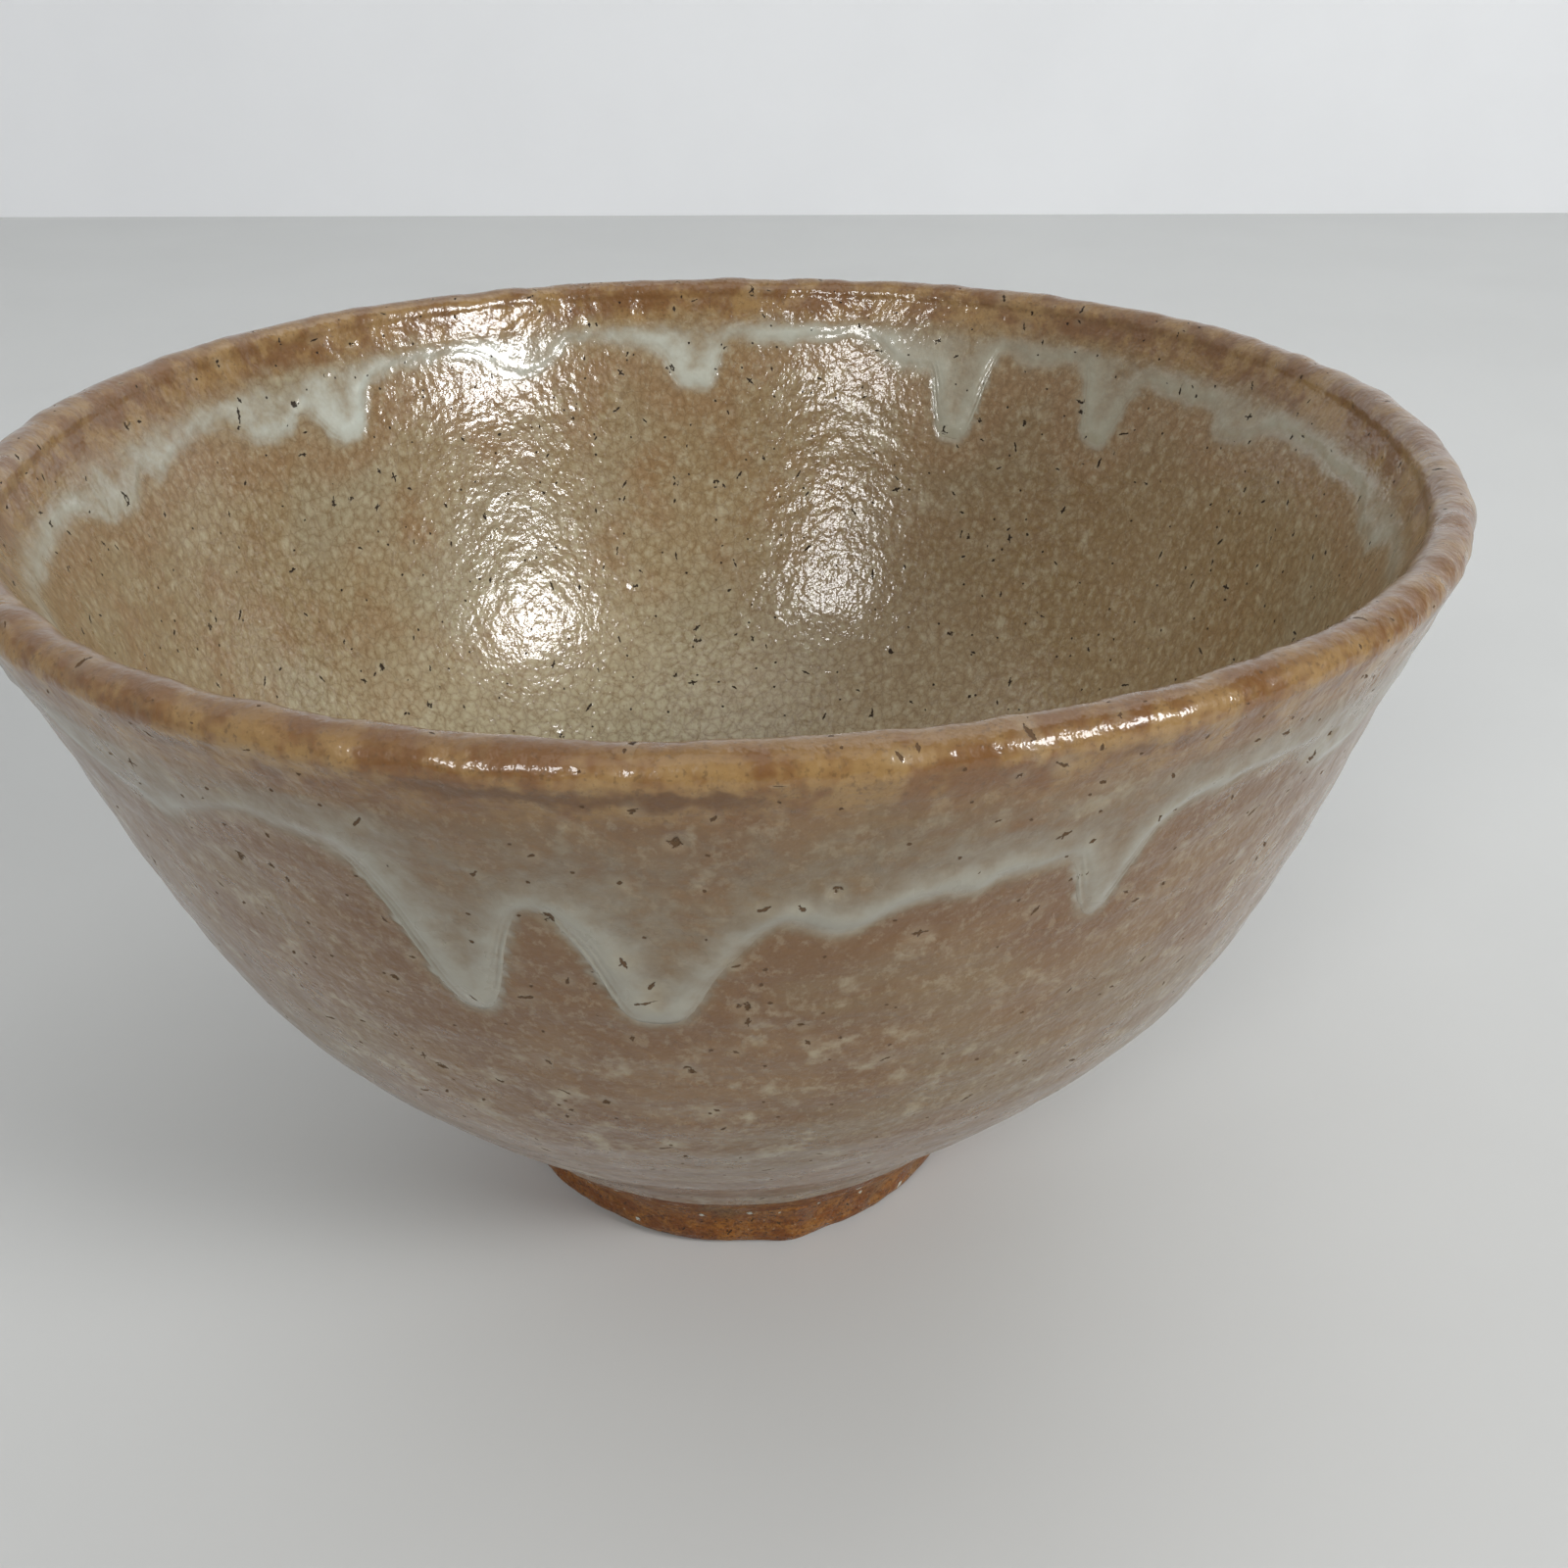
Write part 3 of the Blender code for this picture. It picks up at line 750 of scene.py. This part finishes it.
def clay_material(name, roughness):
    """Orange-brown clay with iron specks, pale grog, and a thin skin of glaze that shines in spots."""
    c = Shader(name)
    broad = c.noise(9, 3, 0.6, shift=3)
    cloud = c.noise(2.4, 4, 0.65, shift=13)
    grain = c.noise(0.5, 3, 0.7, shift=29)
    colour = c.mix(c.step(cloud, 0.4, 0.62), CLAY, CLAY_PALE)
    colour = c.mix(c.step(broad, 0.56, 0.7, 0, 0.6), colour, OUTSIDE_GREY)
    colour = c.mix(c.step(grain, 0.52, 0.34, 0, 0.85), colour, CLAY_DARK)
    colour = c.mix(c.step(grain, 0.6, 0.75, 0, 0.5), colour, PALE)
    long, _ = c.cuts(2.6, 0.5, 0.09, 0.5, 7.0)
    short, _ = c.cuts(1.5, 0.14, 0.11, 0.45, 17.0)
    grog, _ = c.cuts(4.5, 0.4, 0.3, 0.35, 5.0)
    holes = c.most(long, short)
    colour = c.mix(c.times(holes, 0.85), colour, DARK)
    colour = c.mix(c.times(grog, 0.85), colour, ASH_INSIDE)
    c.feed(c.surface.inputs["Base Color"], colour)
    glossy = c.step(c.noise(3.0, 2, shift=61), 0.5, 0.62)
    c.feed(c.surface.inputs["Roughness"], c.step(glossy, 0, 1, roughness, 0.16))
    c.surface.inputs["IOR"].default_value = 1.5
    c.surface.inputs["Specular IOR Level"].default_value = 0.25
    normal = c.bump(c.noise(1.1, 4, 0.65, shift=67), 0.32)
    normal = c.bump(c.math("SUBTRACT", 1.0, holes), 0.15, normal)
    c.feed(c.surface.inputs["Normal"], normal)
    return c.material


def plain_material(name, colour, roughness):
    """A pale matt surface with a faint unevenness."""
    p = Shader(name)
    shade = p.step(p.noise(90, 3), 0.3, 0.7, 0, 1)
    p.feed(p.surface.inputs["Base Color"], p.mix(shade, colour, tuple(0.97 * part for part in colour)))
    p.surface.inputs["Roughness"].default_value = roughness
    return p.material


def stage_plane(name, corners, material):
    mesh = bpy.data.meshes.new(name)
    mesh.from_pydata(corners, [], [(0, 1, 2, 3)])
    mesh.materials.append(material)
    plane = bpy.data.objects.new(name, mesh)
    bpy.context.scene.collection.objects.link(plane)


def make_stage():
    """A pale floor that ends at a pale wall behind the bowl. The wall glows faintly though it is no lamp:
    painted light.
    """
    half, front, back, tall = 3.0, -3.0, WALL_PLACE, 2.4
    floor = plain_material("floor", FLOOR_COLOUR, 0.5)
    wall = plain_material("wall", WALL_COLOUR, 0.8)
    # Painted light: the wall glows faintly.
    glow = wall.node_tree.nodes["Principled BSDF"].inputs
    glow["Emission Color"].default_value = (*WALL_GLOW, 1)
    glow["Emission Strength"].default_value = 0.10
    stage_plane("floor", [(-half, front, 0), (half, front, 0), (half, back, 0), (-half, back, 0)], floor)
    stage_plane(
        "wall", [(-half, back, -0.02), (half, back, -0.02), (half, back, tall), (-half, back, tall)], wall
    )


def make_light(name, azimuth, elevation, distance, size, power):
    """A rectangular lamp that faces the bowl, from angles in degrees and a distance in metres."""
    data = bpy.data.lights.new(name, "AREA")
    data.shape = "RECTANGLE"
    data.size, data.size_y = size
    data.energy = power
    lamp = bpy.data.objects.new(name, data)
    level = cos(radians(elevation))
    away = Vector((
        level * cos(radians(azimuth)), level * sin(radians(azimuth)), sin(radians(elevation))
    ))
    lamp.location = Vector(LAMP_TARGET) + away * distance
    lamp.rotation_euler = away.to_track_quat("Z", "Y").to_euler()
    bpy.context.scene.collection.objects.link(lamp)


def make_world():
    """A dim room, brighter towards the left. The camera sees a pale grey in its place."""
    world = bpy.data.worlds.new("dim_room")
    world.use_nodes = True
    tree = world.node_tree
    coordinates = tree.nodes.new("ShaderNodeTexCoord")
    side = tree.nodes.new("ShaderNodeVectorMath")
    side.operation = "DOT_PRODUCT"
    side.inputs[1].default_value = Vector((-0.83, 0.25, 0.5)).normalized()
    tree.links.new(coordinates.outputs["Generated"], side.inputs[0])
    glow = tree.nodes.new("ShaderNodeMapRange")
    glow.interpolation_type = "SMOOTHSTEP"
    limits = {"From Min": 0.1, "From Max": 1.0, "To Min": 0.03, "To Max": 0.42}
    for socket, number in limits.items():
        glow.inputs[socket].default_value = number
    tree.links.new(side.outputs["Value"], glow.inputs[0])
    seen = tree.nodes.new("ShaderNodeMix")
    seen.inputs[3].default_value = 0.62
    tree.links.new(tree.nodes.new("ShaderNodeLightPath").outputs["Is Camera Ray"], seen.inputs[0])
    tree.links.new(glow.outputs[0], seen.inputs[2])
    background = tree.nodes["Background"]
    background.inputs["Color"].default_value = (0.97, 0.98, 1.0, 1)
    tree.links.new(seen.outputs[0], background.inputs["Strength"])
    bpy.context.scene.world = world


def make_lights():
    """A window at the front right, a smaller one at the front left, and soft light from above."""
    make_light("window_right", -32, 28.5, 1.3, (0.36, 0.34), 11)
    make_light("window_left", -115, 31, 1.3, (0.26, 0.28), 5.0)
    make_light("top_front", -90, 70, 1.6, (1.0, 1.0), 3.2)
    make_light("back_left", 150, 50, 1.35, (1.0, 1.0), 1.6)
    make_light("back_right", 47, 62, 1.4, (0.8, 0.8), 2.7)


def make_camera():
    """The camera, close above the bowl's front. Its angles are in radians."""
    pitch, yaw, roll = 0.5110, 0.0359, 0.0034
    ahead = Vector((sin(yaw) * cos(pitch), cos(yaw) * cos(pitch), -sin(pitch)))
    level = Vector((cos(yaw), -sin(yaw), 0))
    above = level.cross(ahead)
    right = cos(roll) * level + sin(roll) * above
    up = cos(roll) * above - sin(roll) * level
    data = bpy.data.cameras.new("camera")
    data.lens, data.sensor_width = 36.0, 36.0
    data.clip_start = 0.01
    camera = bpy.data.objects.new("camera", data)
    turned = Matrix((right, up, -ahead)).transposed().to_4x4()
    camera.matrix_world = Matrix.Translation(CAMERA_PLACE) @ turned
    bpy.context.scene.collection.objects.link(camera)
    bpy.context.scene.camera = camera


def dress():
    """Makes the bowl's pieces, attaches each to the root body and hides the imported part that it stands
    for.
    """
    pieces = [
        (make_body(), "clay_body", "stoneware_clay"),
        (make_foot(), "foot_ring", "foot_clay"),
        (make_inner_glaze(), "inner_glaze", "feldspar_glaze"),
        (make_outer_glaze(), "outer_glaze", "feldspar_glaze"),
        (make_ash("ash_glaze_inside", INNER_EDGE), "inner_ash_runs", "straw_ash_glaze"),
        (make_ash("ash_glaze_outside", OUTER_EDGE), "outer_ash_runs", "straw_ash_glaze"),
    ]
    for piece, node, slot in pieces:
        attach(piece, "root")
        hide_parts(node)


dress()
make_stage()
make_world()
make_lights()
make_camera()
bpy.context.scene.view_settings.view_transform = "Standard"
